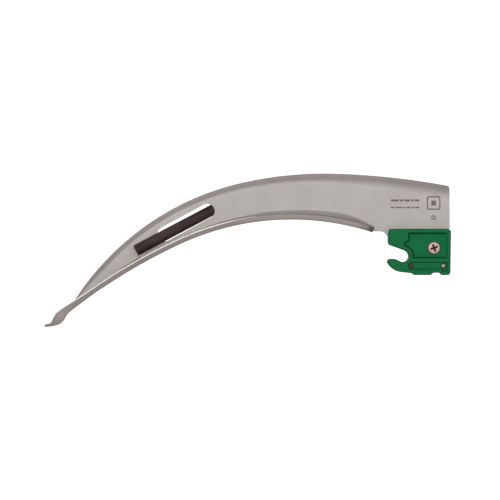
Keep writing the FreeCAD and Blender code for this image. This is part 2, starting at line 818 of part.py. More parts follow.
def guide_path():
    """Centre line of the light guide from the port face to its free end."""
    rise_x, side = value("port_x"), value("guide_side")
    turn_z, high_z = value("guide_turn_z"), value("guide_high_z")
    slope = math.radians(value("guide_slope"))
    heading = Vector(-math.cos(slope), 0, -math.sin(slope))
    port = Vector(rise_x, 0, value("foot_z"))
    shift = Vector(rise_x, 0, value("guide_shift_z"))
    clear = Vector(rise_x, side, value("guide_clear_z"))
    turn = Vector(rise_x, side, turn_z)
    turn_radius = high_z - turn_z
    crown = Vector(rise_x - turn_radius * (1 - math.sqrt(0.5)), side,
                   turn_z + turn_radius * math.sqrt(0.5))
    level = Vector(rise_x - turn_radius, side, high_z)
    window = Vector(value("guide_pass_x"), side, value("guide_pass_z"))
    corner = window - heading * ((high_z - window.z) / heading.z * -1)
    run = (window - corner).Length
    bend_start = corner + Vector(run, 0, 0)
    bend_radius = run / math.tan(slope / 2)
    centre = bend_start - Vector(0, 0, bend_radius)
    bend_crown = centre + Vector(-math.sin(slope / 2), 0, math.cos(slope / 2)) * bend_radius
    front_run = (window.x - value("guide_front_x")) / math.cos(slope)
    front = window + heading * front_run + Vector(0, -2 * side, 0)
    end_run = (front.x - value("guide_end_x")) / math.cos(slope)
    end = front + heading * end_run
    print(f"light guide bends: {turn_radius:.1f} {bend_radius:.1f} mm")
    pieces = [Part.LineSegment(port, shift)]
    pieces += s_bend(shift, clear, Vector(0, 1, 0))
    pieces += [Part.LineSegment(clear, turn), Part.Arc(turn, crown, level),
               Part.LineSegment(level, bend_start), Part.Arc(bend_start, bend_crown, window)]
    pieces += s_bend(window, front, Vector(0, 1, 0))
    pieces += [Part.LineSegment(front, end)]
    return Part.Wire([piece.toShape() for piece in pieces])


def tube_along(path, radius):
    """A solid round rod along the path."""
    start = path.Vertexes[0].Point
    circle = Part.Wire([Part.makeCircle(radius, start, Vector(0, 0, 1))])
    return path.makePipeShell([circle], True, True)


def add_shape(name, shape):
    item = document.addObject("Part::Feature", name)
    item.Label = name
    item.Shape = shape
    return item


def build_light_guide():
    path = guide_path()
    fibres = tube_along(path, value("fibre_radius"))
    sleeve = tube_along(path, value("guide_radius"))
    low = value("ferrule_top")
    span = 3 * value("heel_half")
    below = Part.makeBox(span, span, low - value("foot_z") + 1,
                         Vector(value("port_x") - span / 2, -span / 2, value("foot_z") - 1))
    print(f"fibre volume {fibres.Volume:.1f},"
          f" section by length {math.pi * value('fibre_radius') ** 2 * path.Length:.1f}")
    add_shape("light_guide_sheath", sleeve.cut(fibres).cut(below))
    add_shape("light_guide_fibres", fibres)


def build_ferrule():
    body = new_body("input_ferrule")
    depth = "ferrule_top - foot_z"
    feature(body, "Pad", "ferrule_tube", "XY_Plane", "foot_z", depth,
            [Outline("port_x", "0").circle("ferrule_radius")])
    cut_up(body, "ferrule_bore", "foot_z", f"({depth}) * 2",
           Outline("port_x", "0").circle("fibre_radius"))
    return body


def build_seal():
    """Moulded collar where the light guide leaves the top of the heel."""
    body = new_body("light_guide_seal")
    feature(body, "Pad", "seal_block", "XY_Plane", "seal_bottom", "seal_top - seal_bottom",
            [box_outline("port_x - channel_half", "web_thickness / 2",
                         "port_x + channel_half", "channel_depth")])
    cut_up(body, "seal_bore", "seal_bottom", "(seal_top - seal_bottom) * 2",
           Outline("port_x", "guide_side").circle("guide_radius"))
    return body


def build_strap(name, x):
    """Thin strap over the light guide, spot-welded to the web's flange side."""
    body = new_body(name)
    face, outer = "web_thickness / 2", "guide_radius + strap_thickness"
    foot = f"{outer} + strap_foot"
    centre = "guide_side"
    skin = f"{face} + strap_thickness"
    outline = Outline(face, f"guide_high_z + {foot}")
    outline.line(skin, f"guide_high_z + {foot}").line(skin, f"guide_high_z + {outer}")
    outline.line(centre, f"guide_high_z + {outer}")
    outline.arc(f"{centre} + {outer}", "guide_high_z", outer, -1)
    outline.arc(centre, f"guide_high_z - ({outer})", outer, -1)
    outline.line(skin, f"guide_high_z - ({outer})").line(skin, f"guide_high_z - ({foot})")
    outline.line(face, f"guide_high_z - ({foot})").line(face, "guide_high_z - guide_radius")
    outline.line(centre, "guide_high_z - guide_radius")
    outline.arc(f"{centre} + guide_radius", "guide_high_z", "guide_radius", 1)
    outline.arc(centre, "guide_high_z + guide_radius", "guide_radius", 1)
    outline.line(face, "guide_high_z + guide_radius")
    outline.close()
    feature(body, "Pad", name + "_strip", "YZ_Plane", x, "strap_width", [outline])
    return body


# ---------------------------------------------------------------- assembly and export

NODES = ["blade", "heel_right_half", "heel_left_half", "heel_screw", "heel_nut",
         "front_locating_pin", "rear_locating_pin", "detent_ball_right", "detent_ball_left",
         "detent_spring_right", "detent_spring_left", "light_guide_fibres",
         "light_guide_sheath", "input_ferrule", "light_guide_seal", "light_guide_strap_rear",
         "light_guide_strap_front"]


def build_all():
    build_blade()
    build_heel_half("heel_right_half", -1)
    build_heel_half("heel_left_half", 1)
    build_screw()
    build_nut()
    build_pin("front_locating_pin", "front_pin_x", "front_pin_z", "front_pin_half")
    build_pin("rear_locating_pin", "rear_pin_x", "rear_pin_z", "rear_pin_half")
    for hand, side in (("right", -1), ("left", 1)):
        build_ball("detent_ball_" + hand, side)
        build_spring("detent_spring_" + hand, side)
    build_light_guide()
    build_ferrule()
    build_seal()
    build_strap("light_guide_strap_rear", "strap_rear_x")
    build_strap("light_guide_strap_front", "strap_front_x")
    document.recompute()


def check_all():
    """Stop if any object of the document failed or any node is not a valid solid."""
    for item in document.Objects:
        if "Invalid" in item.State or "Error" in item.State:
            raise RuntimeError(f"{item.Name} did not recompute: {item.State}")
    for name in NODES:
        shape = document.getObjectsByLabel(name)[0].Shape
        if shape.isNull() or not shape.isValid() or len(shape.Solids) != 1:
            raise RuntimeError(f"{name} is not one valid solid")


def export_all():
    os.makedirs("parts", exist_ok=True)
    for name in NODES:
        shape = document.getObjectsByLabel(name)[0].Shape
        shape.exportStep(f"parts/{name}.step")
        box = shape.BoundBox
        print(f"{name}: volume {shape.Volume:.2f}, X {box.XMin:.2f} {box.XMax:.2f},"
              f" Y {box.YMin:.2f} {box.YMax:.2f}, Z {box.ZMin:.2f} {box.ZMax:.2f}")


build_all()
check_all()
export_all()
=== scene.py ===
import bmesh
import bpy
import math
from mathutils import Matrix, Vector


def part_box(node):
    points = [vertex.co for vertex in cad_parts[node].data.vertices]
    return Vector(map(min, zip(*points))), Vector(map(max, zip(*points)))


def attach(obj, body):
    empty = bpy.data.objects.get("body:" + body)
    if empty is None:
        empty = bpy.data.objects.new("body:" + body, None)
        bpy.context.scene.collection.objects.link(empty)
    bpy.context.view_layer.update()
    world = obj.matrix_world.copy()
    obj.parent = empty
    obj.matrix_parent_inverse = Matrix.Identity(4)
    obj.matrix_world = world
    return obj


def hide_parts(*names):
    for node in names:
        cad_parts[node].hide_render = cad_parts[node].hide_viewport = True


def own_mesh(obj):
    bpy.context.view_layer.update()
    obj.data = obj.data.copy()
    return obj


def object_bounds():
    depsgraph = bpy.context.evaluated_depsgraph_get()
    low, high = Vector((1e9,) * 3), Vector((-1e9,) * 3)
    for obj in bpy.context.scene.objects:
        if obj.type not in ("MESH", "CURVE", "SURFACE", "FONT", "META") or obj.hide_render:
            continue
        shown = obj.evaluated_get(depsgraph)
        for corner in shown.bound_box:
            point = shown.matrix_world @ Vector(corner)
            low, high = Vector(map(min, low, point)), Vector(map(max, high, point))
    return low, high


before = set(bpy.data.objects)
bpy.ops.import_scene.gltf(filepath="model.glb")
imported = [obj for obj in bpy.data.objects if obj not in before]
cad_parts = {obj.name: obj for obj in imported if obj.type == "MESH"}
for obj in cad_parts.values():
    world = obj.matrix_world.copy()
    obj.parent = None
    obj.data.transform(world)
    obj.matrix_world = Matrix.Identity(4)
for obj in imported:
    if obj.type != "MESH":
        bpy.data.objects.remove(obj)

CAD_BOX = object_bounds()
MM = 0.001

# ------------------------------------------------------------------ driving sizes, in metres

WEB = 1.2 * MM                  # sheet thickness of the web and the flange
HALF_WEB = WEB / 2
BEND_OUT = 3.0 * MM             # bend between web and flange: sideways radius
BEND_DROP_TIP = 2.8 * MM        # and its radius down the web, at the tip and at the rear
BEND_DROP_REAR = 7.6 * MM
REAR = 18.1 * MM                # rear edge of the web
REAR_CORNER = 1.3 * MM          # rounding of the upper rear corner
FLANGE_REAR_REACH = 5.2 * MM
FLANGE_RADIUS = 391.0 * MM      # bow of the flange's free edge
FLANGE_TIP_X = -124.0 * MM

SPATULA = 2.0 * MM              # thickness of the spatula
SPATULA_REAR_REACH = 7.5 * MM   # sideways reach from the web's middle plane
SPATULA_TIP_REACH = 14.0 * MM
SPATULA_FULL_X = -130.4 * MM    # where it reaches furthest
REAR_SWEEP = 6.0 * MM           # length over which the spatula's rear end sweeps in
REAR_SWEEP_SHARE = 0.62         # share of the rear reach that the sweep takes off
TOE = 11.0 * MM                 # length over which the spatula thickens towards the tip
TOE_RISE = 0.85 * MM
TIP_X = -136.7 * MM
TIP_CORNER = 6.3 * MM           # rounding of the tip's corners, seen from above

RIM = 0.35 * MM                 # small roundings of the spatula's free edge
RIM_LEAN = 0.75 * MM            # how far the rim leans in below
FAR_ROUND = 0.8 * MM            # rounding of the spatula's other edge, on the web's far side
FACET = 0.34 * MM               # 45 degree facet along the rim's upper side, painted lighter as a highlight
FACET_END_X = -56 * MM
FACET_FADE = 14 * MM

ROOT_TIP = 0.4 * MM             # concave radius between web and spatula
ROOT_REAR = 3.4 * MM
ROOT_START = 58 * MM            # travel at which that fillet begins
ROOT_FADE = 11 * MM             # length over which it runs out at the rear
ROOT_END_GAP = 0.6 * MM

# tangent arcs that bend right: start, heading in degrees, then radius and sweep of each
TOP_START = Vector((-123.13, 0, -13.37)) * MM
TOP_HEADING = 55.2
TOP_ARCS = ((102.3 * MM, 41.8), (142.5 * MM, 15.1), (278.3 * MM, 8.6))
LOW_START = Vector((-126.94, 0, -21.24)) * MM
LOW_HEADING = 38.2
LOW_ARCS = ((212.2 * MM, 13.4), (100.6 * MM, 42.8))


# ------------------------------------------------------------------ small tools

def new_object(name, mesh_maker, body="blade", smooth=35.0):
    """A mesh object filled by mesh_maker(bm), riding on a CAD body."""
    mesh = bpy.data.meshes.new(name)
    bm = bmesh.new()
    mesh_maker(bm)
    bmesh.ops.remove_doubles(bm, verts=bm.verts, dist=1e-7)
    bmesh.ops.recalc_face_normals(bm, faces=bm.faces)
    bm.to_mesh(mesh)
    bm.free()
    piece = bpy.data.objects.new(name, mesh)
    bpy.context.scene.collection.objects.link(piece)
    if body:
        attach(piece, body)
    shade(piece, smooth)
    return piece


def shade(piece, angle):
    """Smooth shading with sharp edges above the angle."""
    piece.data.polygons.foreach_set("use_smooth", [True] * len(piece.data.polygons))
    piece.data.set_sharp_from_angle(angle=math.radians(angle))


def apply_modifiers(piece):
    """Bake the piece's modifiers into its mesh."""
    bpy.context.view_layer.update()
    graph = bpy.context.evaluated_depsgraph_get()
    mesh = bpy.data.meshes.new_from_object(piece.evaluated_get(graph))
    piece.modifiers.clear()
    old = piece.data
    piece.data = mesh
    bpy.data.meshes.remove(old)


def loft(bm, rings):
    """Skin closed rings of equal length and cap both ends."""
    made = [[bm.verts.new(point) for point in ring] for ring in rings]
    for first, second in zip(made, made[1:]):
        for index in range(len(first)):
            following = (index + 1) % len(first)
            bm.faces.new((first[index], first[following], second[following], second[index]))
    bm.faces.new(made[0])
    bm.faces.new(made[-1])


def boolean(piece, tool, operation):
    """Join a tool to the piece or cut it out, and delete the tool."""
    modifier = piece.modifiers.new("cut", "BOOLEAN")
    modifier.operation = operation
    modifier.solver = "EXACT"
    modifier.object = tool
    apply_modifiers(piece)
    bpy.data.objects.remove(tool, do_unlink=True)


def chain(start, heading, arcs, travel):
    """Point and heading after the travel along tangent arcs that bend right."""
    point, angle = start.copy(), math.radians(heading)
    for radius, sweep in arcs:
        turn = min(travel / radius, math.radians(sweep))
        after = angle - turn
        point += Vector((radius * (math.sin(angle) - math.sin(after)), 0,
                         radius * (math.cos(after) - math.cos(angle))))
        travel -= turn * radius
        angle = after
        if travel <= 1e-9:
            break
    return point, angle


def chain_length(arcs):
    """Length of a chain of (radius, sweep in degrees) arcs."""
    return sum(radius * math.radians(sweep) for radius, sweep in arcs)


TOP_LENGTH = chain_length(TOP_ARCS)
LOW_LENGTH = chain_length(LOW_ARCS)


def top_at(travel):
    """Point and heading on the convex edge; it runs straight on beyond both ends."""
    inside = min(max(travel, 0.0), TOP_LENGTH)
    point, angle = chain(TOP_START, TOP_HEADING, TOP_ARCS, inside)
    ahead = Vector((math.cos(angle), 0, math.sin(angle)))
    return point + ahead * (travel - inside), angle


def low_at(travel):
    """Point and heading on the spatula's underside."""
    return chain(LOW_START, LOW_HEADING, LOW_ARCS, max(travel, 0.0))


# ------------------------------------------------------------------ blade

HEEL_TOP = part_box("heel_right_half")[1][2]
NECK = Vector((-8.6, 0, 9.4)) * MM      # round step from the web down to the tang
NECK_RADIUS = 3.2 * MM
TANG_LIP = (Vector((-5.4, 0, 5.9)) * MM, Vector((1.05, 0, 3.23)) * MM)
TANG_BOTTOM = -5.4 * MM
TANG_REAR = 16.9 * MM
SADDLE = 3.4 * MM                       # radius of the tang round the hook
PORT_X = 7.4 * MM                       # notch in the tang for the light guide
NOTCH_HALF = 2.3 * MM
NOTCH_TOP = 8.1 * MM
ARC_GUARD = 0.02 * MM                   # the neck's arc stops this far short of its end


def low_height(x, raised):
    """Z of the spatula's underside at this X, raised along its normal."""
    radius = LOW_ARCS[1][0]
    join, angle = chain(LOW_START, LOW_HEADING, LOW_ARCS[:1], math.inf)
    if x < join.x:
        radius, join, angle = LOW_ARCS[0][0], LOW_START, math.radians(LOW_HEADING)
    centre = join + Vector((math.sin(angle), 0, -math.cos(angle))) * radius
    return centre.z + math.sqrt((radius + raised) ** 2 - (x - centre.x) ** 2)


LOW_END_X = low_at(LOW_LENGTH)[0].x


def web_bottom(x):
    """Lowest Z of the web and the tang at this X."""
    if x < LOW_END_X:
        return low_height(x, SPATULA / 2)
    if x < NECK.x:
        return NECK.z
    front = NECK.x + NECK_RADIUS
    if x < front - ARC_GUARD:
        return NECK.z - NECK_RADIUS + math.sqrt(NECK_RADIUS ** 2 - (x - NECK.x) ** 2)
    if x < TANG_LIP[1].x:
        share = (x - TANG_LIP[0].x) / (TANG_LIP[1].x - TANG_LIP[0].x)
        return TANG_LIP[0].z + (TANG_LIP[1].z - TANG_LIP[0].z) * share
    if x < SADDLE:
        return math.sqrt(SADDLE ** 2 - x ** 2)
    if abs(x - PORT_X) < NOTCH_HALF:
        return NOTCH_TOP
    return TANG_BOTTOM


def flange_edge(x):
    """Y of the flange's free edge at this X: a bowed edge between two ends."""
    start = Vector((FLANGE_TIP_X, HALF_WEB))
    end = Vector((REAR, FLANGE_REAR_REACH))
    middle, half = (start + end) / 2, (end - start) / 2
    side = Vector((-half.y, half.x)).normalized()
    centre = middle - side * math.sqrt(FLANGE_RADIUS ** 2 - half.length ** 2)
    return centre.y + math.sqrt(FLANGE_RADIUS ** 2 - (x - centre.x) ** 2)


WALL_STEPS = 8                  # rows of points up each face of the web
BEND_STEPS = 12                 # points round each side of the bend
EDGE_STEPS = 6                  # points round the flange's free edge
WEB_STEPS = 220                 # sections along the blade
RUN_IN = 4.6 * MM               # how far the sections run on at the tip and at the rear
RUN_OUT = 6 * MM
LEAST_RADIUS = 0.05 * MM


def web_ring(travel):
    """One closed section through web and flange at a travel along the convex edge."""
    top, angle = top_at(travel)
    up = Vector((-math.sin(angle), 0, math.cos(angle)))
    near = Vector((0, -1, 0))
    low = top - up * WEB
    foot = Vector((top.x, 0, web_bottom(top.x)))
    reach = max(flange_edge(top.x), HALF_WEB * 1.02)

    # the bend's radii shrink where the flange is narrow or the web is low
    outer = min(BEND_OUT, (reach + HALF_WEB) * 0.9)
    inner = max(outer - WEB, LEAST_RADIUS)
    share = min(max(travel / TOP_LENGTH, 0.0), 1.0)
    drop = BEND_DROP_TIP + (BEND_DROP_REAR - BEND_DROP_TIP) * share ** 3
    drop = max(min(drop, (top.z - foot.z) * 0.8), WEB * 1.05)
    inner_drop = drop - WEB
    outer_centre = top - up * drop + Vector((0, outer - HALF_WEB, 0))
    inner_centre = low - up * inner_drop + Vector((0, HALF_WEB + inner, 0))
    edge = min(WEB * 0.48, (reach + HALF_WEB) * 0.3)
    out = max(reach - edge, outer_centre.y)
    out_low = max(out, inner_centre.y)

    # near face upwards, then round the outside of the bend
    ring = []
    for step in range(WALL_STEPS + 1):
        spot = foot.lerp(top - up * drop, step / WALL_STEPS)
        ring.append(spot + Vector((0, -HALF_WEB, 0)))
    for step in range(1, BEND_STEPS + 1):
        turn = math.pi / 2 * step / BEND_STEPS
        ring.append(outer_centre + near * math.cos(turn) * outer + up * math.sin(turn) * drop)
    # out along the flange, round its free edge and back below it
    for share in (0.5, 1.0):
        ring.append(top + Vector((0, outer_centre.y + (out - outer_centre.y) * share, 0)))
    edge_centre = (top + low) / 2 + Vector((0, out, 0))
    for step in range(1, EDGE_STEPS):
        turn = math.pi * step / EDGE_STEPS
        ring.append(edge_centre + up * math.cos(turn) * WEB / 2
                    + Vector((0, math.sin(turn) * edge, 0)))
    for share in (1.0, 0.5):
        ring.append(low + Vector((0, inner_centre.y + (out_low - inner_centre.y) * share, 0)))
    # round the inside of the bend and down the far face
    for step in range(BEND_STEPS + 1):
        turn = math.pi / 2 * step / BEND_STEPS
        ring.append(inner_centre + near * math.sin(turn) * inner
                    + up * math.cos(turn) * inner_drop)
    for step in range(1, WALL_STEPS + 1):
        spot = (low - up * inner_drop).lerp(foot, step / WALL_STEPS)
        ring.append(spot + Vector((0, HALF_WEB, 0)))
    return ring


def web_stations():
    """Travels along the convex edge in even steps."""
    start = -RUN_IN
    end = TOP_LENGTH + RUN_OUT
    return [start + (end - start) * n / WEB_STEPS for n in range(WEB_STEPS + 1)]


def build_web(bm):
    """Web and flange as one bent sheet."""
    loft(bm, [web_ring(travel) for travel in web_stations()])


def spatula_reach(x):
    """Sideways reach of the spatula's free edge at this X."""
    share = (x - SPATULA_FULL_X) / (LOW_END_X - SPATULA_FULL_X)
    reach = SPATULA_TIP_REACH + (SPATULA_REAR_REACH - SPATULA_TIP_REACH) * share
    into = x - (LOW_END_X - REAR_SWEEP)
    if into > 0:
        swept = 1 - math.sqrt(max(1 - (into / REAR_SWEEP) ** 2, 0))
        reach -= SPATULA_REAR_REACH * REAR_SWEEP_SHARE * swept
    return reach


SPATULA_STEPS = 120             # sections along the arcs
# bead and lip at the tip: lower and upper side points (X, Z) in millimetres, going forwards
TIP_PAIRS = (((-127.9, -22.0), (-129.5, -19.55)), ((-128.5, -22.95), (-130.5, -20.3)),
             ((-129.1, -24.1), (-131.4, -21.1)), ((-129.85, -25.05), (-132.1, -21.85)),
             ((-130.8, -25.95), (-132.75, -22.9)), ((-131.75, -26.35), (-133.25, -24.0)),
             ((-132.9, -26.6), (-133.7, -24.9)), ((-133.9, -26.75), (-134.3, -25.45)),
             ((-134.9, -26.87), (-135.0, -25.7)), ((-135.9, -26.97), (-135.95, -25.95)),
             ((-136.4, -26.9), (-136.4, -26.2)), ((-136.62, -26.75), (-136.62, -26.4)))


def spatula_sides():
    """Lower and upper side points from the rear end to the tip."""
    pairs = []
    for n in range(SPATULA_STEPS + 1):
        travel = LOW_LENGTH * (1 - n / SPATULA_STEPS)
        point, angle = low_at(travel)
        up = Vector((-math.sin(angle), 0, math.cos(angle)))
        ease = max(0.0, 1 - travel / TOE)
        pairs.append((point, point + up * (SPATULA + TOE_RISE * ease ** 1.5)))
    for low, high in TIP_PAIRS:
        pairs.append((Vector((low[0], 0, low[1])) * MM, Vector((high[0], 0, high[1])) * MM))
    return pairs


def spatula_ring(low, high):
    """Section between a lower and an upper point: a leaning rim and a sloped upper facet."""
    x = (low.x + high.x) / 2
    near, far = -spatula_reach(x), HALF_WEB
    into = TIP_X + TIP_CORNER - x
    if into > 0:
        cut = TIP_CORNER - math.sqrt(max(TIP_CORNER ** 2 - min(into, TIP_CORNER) ** 2, 0))
        near, far = near + cut, far - cut
    thick = (high - low).length
    up = (high - low).normalized()

    # every rounding stays a share of the thickness where the sheet runs thin
    fade = min(max((FACET_END_X - x) / FACET_FADE, 0.25), 1.0)
    facet = min(FACET * fade, thick * 0.25)
    lean = min(RIM_LEAN * (0.35 + 0.65 * fade), thick * 0.35)
    small = min(RIM, thick * 0.2)
    back = min(thick * 0.45, FAR_ROUND)
    corner = near + lean
    shoulder = near + facet
    flat = shoulder + (far - near) * 0.12

    def spot(y, rise):
        return low + up * rise + Vector((0, y, 0))

    def spread(start, end, shares, rise):
        return [spot(start + (end - start) * share, rise) for share in shares]

    # the lower corner, the leaning rim, the facet and the upper face
    ring = [spot(corner + small * 1.6, 0)]
    for step in range(1, 5):
        turn = math.pi / 2 * step / 5
        ring.append(spot(corner + small * (1 - 1.15 * math.sin(turn)),
                         small * (1 - math.cos(turn))))
    ring += [spot(near + lean * 0.55, (thick - facet) * 0.45),
             spot(near + lean * 0.1, thick - facet - small * 0.5),
             spot(near, thick - facet), spot(shoulder, thick), spot(flat, thick)]
    ring += spread(flat, far - back, (0.33, 0.67), thick)
    # round the other edge and back along the underside
    for middle, start in ((thick - back, 0), (back, math.pi / 2)):
        for step in range(4):
            turn = start + math.pi / 2 * step / 3
            ring.append(spot(far - back + math.sin(turn) * back,
                             middle + math.cos(turn) * back))
    ring += spread(corner, far - back, (0.75, 0.5, 0.25), 0)
    return ring


def build_spatula(bm):
    """The spatula with its bead and lip."""
    loft(bm, [spatula_ring(low, high) for low, high in spatula_sides()])


ROOT_STEPS = 90                 # sections along the fillet
ROOT_ROUND_STEPS = 10           # points round its hollow
ROOT_BITE = 0.4                 # share of the spatula's thickness that it reaches down


def root_ring(travel):
    """Section of the concave fillet between the web's near face and the spatula's top."""
    point, angle = low_at(travel)
    up = Vector((-math.sin(angle), 0, math.cos(angle)))
    share = (travel - ROOT_START) / (LOW_LENGTH - ROOT_START)
    radius = ROOT_TIP + (ROOT_REAR - ROOT_TIP) * share ** 0.8
    left = min((LOW_LENGTH - travel) / ROOT_FADE, 1.0)
    radius *= 0.05 + 0.95 * left ** 0.8
    radius = min(radius, max(spatula_reach(point.x) - 1.6 * MM, 0.5 * MM))
    floor = point + up * SPATULA
    foot = floor - up * SPATULA * ROOT_BITE
    ring = [foot, floor + up * radius]
    for step in range(ROOT_ROUND_STEPS + 1):
        turn = math.pi / 2 * step / ROOT_ROUND_STEPS
        ring.append(floor + up * radius * (1 - math.sin(turn))
                    + Vector((0, -HALF_WEB - radius * (1 - math.cos(turn)), 0)))
    ring.append(foot + Vector((0, -HALF_WEB - radius, 0)))
    return ring


def build_root(bm):
    """The fillet from its start to just short of the spatula's rear end."""
    span = LOW_LENGTH - ROOT_START - ROOT_END_GAP
    loft(bm, [root_ring(ROOT_START + span * n / ROOT_STEPS) for n in range(ROOT_STEPS + 1)])


def prism(bm, outline, near, far):
    """Solid between two Y levels over an outline in the middle plane."""
    loft(bm, [[point + Vector((0, y, 0)) for point in outline] for y in (near, far)])


WINDOW_REAR = Vector((-74.6, 0, 17.2)) * MM     # centre of the window's rear round end
WINDOW_LENGTH = 18.6 * MM                       # from there to the centre of the front one
WINDOW_HALF = 2.8 * MM
WINDOW_SLOPE = math.radians(28.4)
WINDOW_STEPS = 24


def build_window(bm):
    """Obround prism that cuts the window."""
    heading = Vector((-math.cos(WINDOW_SLOPE), 0, -math.sin(WINDOW_SLOPE)))
    upward = Vector((-math.sin(WINDOW_SLOPE), 0, math.cos(WINDOW_SLOPE)))
    outline = []
    for centre, start in ((WINDOW_REAR, 90), (WINDOW_REAR + heading * WINDOW_LENGTH, 270)):
        for step in range(WINDOW_STEPS + 1):
            turn = math.radians(start - 180 * step / WINDOW_STEPS)
            outline.append(centre + (upward * math.sin(turn) - heading * math.cos(turn))
                           * WINDOW_HALF)
    prism(bm, outline, -4 * MM, 2 * MM)


CORNER_STEPS = 12
TANG_GAP = 0.2 * MM             # the tang's step lies this far inside the heel


def build_corner(bm):
    """What lies behind the tang and the web and outside the web's rounded upper corner."""
    top, angle = top_at(TOP_LENGTH)
    high = top.z + math.tan(angle) * (REAR - top.x)
    start = math.pi / 2 + angle
    centre = Vector((REAR - REAR_CORNER, 0, high - REAR_CORNER * math.tan(start / 2)))
    behind, below, above = REAR + 9 * MM, -14 * MM, high + 2 * MM
    first = centre + Vector((math.cos(start), 0, math.sin(start))) * REAR_CORNER
    outline = [Vector((REAR, 0, HEEL_TOP)), Vector((TANG_REAR, 0, HEEL_TOP - TANG_GAP)),
               Vector((TANG_REAR, 0, below)), Vector((behind, 0, below)),
               Vector((behind, 0, above)), Vector((first.x, 0, above))]
    for step in range(CORNER_STEPS + 1):
        turn = start * (1 - step / CORNER_STEPS)
        outline.append(centre + Vector((math.cos(turn), 0, math.sin(turn))) * REAR_CORNER)
    prism(bm, outline, -3 * MM, 12 * MM)


def build_blade():
    """Web and flange joined to the spatula and the fillet, then cut to shape."""
    blade = new_object("blade_body", build_web)
    for name, build, operation in (("spatula_tool", build_spatula, "UNION"),
                                   ("root_tool", build_root, "UNION"),
                                   ("window_tool", build_window, "DIFFERENCE"),
                                   ("corner_tool", build_corner, "DIFFERENCE")):
        boolean(blade, new_object(name, build, body=None), operation)
    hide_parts("blade")
    shade(blade, 32)
    return blade


FACET_BAND = 0.75 * MM          # how far in from the edge the facet's faces lie
FACET_BAND_TIP = 4.5 * MM       # the same where the tip's corner is rounded


def is_facet(face):
    """True for a face of the facet on the spatula's rim, which gets the painted highlight."""
    if face.center.x > FACET_END_X:
        return False
    band = FACET_BAND_TIP if face.center.x < TIP_X + TIP_CORNER else FACET_BAND
    near_rim = face.center.y < band - spatula_reach(face.center.x)
    return near_rim and 0.5 < -face.normal.y < 0.88 and face.normal.z > 0.3


# ------------------------------------------------------------------ bevelled copies of CAD nodes

GROOVE_X = (0.8 * MM, 17.2 * MM)
GROOVE_Z = (-6.2 * MM, -2.1 * MM)
GROOVE_RIM_Y = 6.3 * MM


def is_in_groove(edge):
    """Whether an end of the edge lies inside one of the heel's side grooves."""
    return any(GROOVE_X[0] < vert.co.x < GROOVE_X[1] and GROOVE_Z[0] < vert.co.z < GROOVE_Z[1]
               and abs(vert.co.y) < GROOVE_RIM_Y for vert in edge.verts)


def bevelled_copy(node, width, segments=3, angle=30, clamp=True, stays_sharp=None):
    """A copy of a CAD node's mesh with its flat faces joined and its edges rounded.

    Edges that bend by more than the angle are rounded, except those that stays_sharp names.
    """
    def fill(bm):
        bm.from_mesh(bpy.data.objects[node].data)
        bmesh.ops.remove_doubles(bm, verts=bm.verts, dist=1e-6)
        bmesh.ops.dissolve_limit(bm, angle_limit=math.radians(1.0), verts=bm.verts,
                                 edges=bm.edges, use_dissolve_boundaries=False)
        weight = bm.edges.layers.float.new("bevel_weight_edge")
        for edge in bm.edges:
            bends = edge.calc_face_angle(0) > math.radians(angle)
            edge[weight] = float(bends and not (stays_sharp and stays_sharp(edge)))
    piece = new_object(node + "_finished", fill, smooth=angle)
    modifier = piece.modifiers.new("round", "BEVEL")
    modifier.width = width
    modifier.segments = segments
    modifier.limit_method = "WEIGHT"
    modifier.use_clamp_overlap = clamp
    modifier.harden_normals = not clamp
    apply_modifiers(piece)
    if clamp:
        shade(piece, 40)
    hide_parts(node)
    return piece


# ------------------------------------------------------------------ screw and etched marks

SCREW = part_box("heel_screw")
SCREW_FACE = SCREW[0][1]
SCREW_END = SCREW[1][1]
SCREW_AXIS = Vector((11.9, 0, 3.1)) * MM
HEAD_RADIUS = 2.4 * MM
HEAD_ROUND = 0.45 * MM
HEAD_ROUND_STEPS = 6
HEAD_SEAT = -5.05 * MM
SHANK_RADIUS = 1.25 * MM
THREAD_PITCH = 0.5 * MM
THREAD_START = 1.0 * MM         # plain shank below the head
THREAD_ROOT = 0.86              # share of the shank's radius
CROSS_TURN = math.radians(22)
# the tapered cross recess: distance behind the face, half length and half width of each bar
CROSS_LEVELS = ((-0.2 * MM, 1.62 * MM, 0.42 * MM), (0.75 * MM, 0.95 * MM, 0.26 * MM))
CROSS_REACH = 1.7 * MM


def lathe(bm, profile, count, centre):
    """Closed solid turned about an axis along Y; the profile is (radius, Y) pairs."""
    rings = []
    for radius, y in profile:
        rings.append([centre + Vector((radius * math.cos(2 * math.pi * n / count), y,
                                       radius * math.sin(2 * math.pi * n / count)))
                      for n in range(count)])
    loft(bm, rings)


def screw_body(bm):
    """Rounded head, plain neck and ribbed shank."""
    profile = []
    for step in range(HEAD_ROUND_STEPS + 1):
        turn = math.pi / 2 * step / HEAD_ROUND_STEPS
        profile.append((HEAD_RADIUS - HEAD_ROUND + HEAD_ROUND * math.sin(turn),
                        SCREW_FACE + HEAD_ROUND * (1 - math.cos(turn))))
    profile += [(HEAD_RADIUS, HEAD_SEAT), (SHANK_RADIUS, HEAD_SEAT + 0.001 * MM)]
    y = HEAD_SEAT + THREAD_START
    while y < SCREW_END - THREAD_PITCH:
        profile += [(SHANK_RADIUS * THREAD_ROOT, y), (SHANK_RADIUS, y + THREAD_PITCH / 2)]
        y += THREAD_PITCH
    profile += [(SHANK_RADIUS * 0.8, SCREW_END)]
    lathe(bm, profile, 48, SCREW_AXIS)


